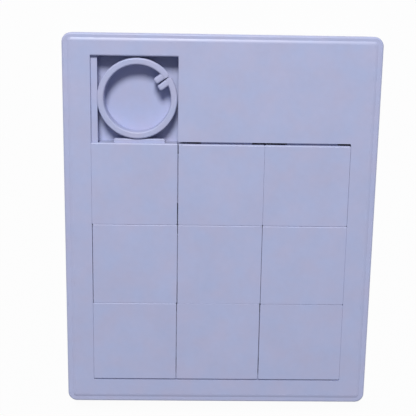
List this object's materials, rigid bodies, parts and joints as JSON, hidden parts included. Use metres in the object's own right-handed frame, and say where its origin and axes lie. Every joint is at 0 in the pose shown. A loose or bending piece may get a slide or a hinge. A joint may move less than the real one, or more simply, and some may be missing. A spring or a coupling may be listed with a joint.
{
  "type": "sliding tile puzzle",
  "caption": "Flat moulded plastic sliding puzzle: blank tiles run on tongues under the frame's lip, with a split locking ring in the spare cell.",
  "frame": {"origin": "middle of the flat back, where the puzzle lies on a table", "axes": "+X to the right of the face, +Y to its top edge, +Z out of the face"},
  "size_m": [0.12, 0.1464, 0.01],
  "materials": {
    "frame_plastic": "satin moulded lavender plastic",
    "back_plastic": "satin moulded lavender plastic",
    "tile_plastic": "satin moulded lavender plastic",
    "ring_plastic": "satin moulded lavender plastic"
  },
  "bodies": {
    "tray": {"front_frame": "frame_plastic", "back_plate": "back_plastic"},
    "ring": {"split_ring": "ring_plastic"},
    "tile_r1c1": {"tile_r1c1": "tile_plastic"},
    "tile_r1c2": {"tile_r1c2": "tile_plastic"},
    "tile_r1c3": {"tile_r1c3": "tile_plastic"},
    "tile_r2c1": {"tile_r2c1": "tile_plastic"},
    "tile_r2c2": {"tile_r2c2": "tile_plastic"},
    "tile_r2c3": {"tile_r2c3": "tile_plastic"},
    "tile_r3c1": {"tile_r3c1": "tile_plastic"},
    "tile_r3c2": {"tile_r3c2": "tile_plastic"},
    "tile_r3c3": {"tile_r3c3": "tile_plastic"}
  },
  "joints": [
    {"name": "tile_r3c1_slide", "type": "slide", "parent": "tray", "child": "tile_r3c1", "axis": [0, 1, 0], "range_m": [0, 0.0319]},
    {"name": "tile_r2c1_slide", "type": "slide", "parent": "tray", "child": "tile_r2c1", "axis": [0, 1, 0], "range_m": [0, 0.0319]},
    {"name": "tile_r1c1_slide", "type": "slide", "parent": "tray", "child": "tile_r1c1", "axis": [0, 1, 0], "range_m": [0, 0.0319]},
    {"name": "ring_lift", "type": "slide", "parent": "tray", "child": "ring", "axis": [0, 0, 1], "range_m": [0, 0.1595]},
    {"name": "tile_r3c2_slide", "type": "slide", "parent": "tray", "child": "tile_r3c2", "axis": [0, 1, 0], "range_m": [0, 0.00055]},
    {"name": "tile_r2c2_slide", "type": "slide", "parent": "tray", "child": "tile_r2c2", "axis": [0, 1, 0], "range_m": [0, 0.00055]},
    {"name": "tile_r1c2_slide", "type": "slide", "parent": "tray", "child": "tile_r1c2", "axis": [0, 1, 0], "range_m": [0, 0.00055]},
    {"name": "tile_r3c3_slide", "type": "slide", "parent": "tray", "child": "tile_r3c3", "axis": [0, 1, 0], "range_m": [0, 0.00055]},
    {"name": "tile_r2c3_slide", "type": "slide", "parent": "tray", "child": "tile_r2c3", "axis": [0, 1, 0], "range_m": [0, 0.00055]},
    {"name": "tile_r1c3_slide", "type": "slide", "parent": "tray", "child": "tile_r1c3", "axis": [0, 1, 0], "range_m": [0, 0.00055]}
  ],
  "couplings": [
    {"joint": "tile_r2c1_slide", "follows": "tile_r3c1_slide", "ratio": 1},
    {"joint": "tile_r1c1_slide", "follows": "tile_r3c1_slide", "ratio": 1},
    {"joint": "ring_lift", "follows": "tile_r3c1_slide", "ratio": 5},
    {"joint": "tile_r2c2_slide", "follows": "tile_r3c2_slide", "ratio": 1},
    {"joint": "tile_r1c2_slide", "follows": "tile_r3c2_slide", "ratio": 1},
    {"joint": "tile_r2c3_slide", "follows": "tile_r3c3_slide", "ratio": 1},
    {"joint": "tile_r1c3_slide", "follows": "tile_r3c3_slide", "ratio": 1}
  ]
}
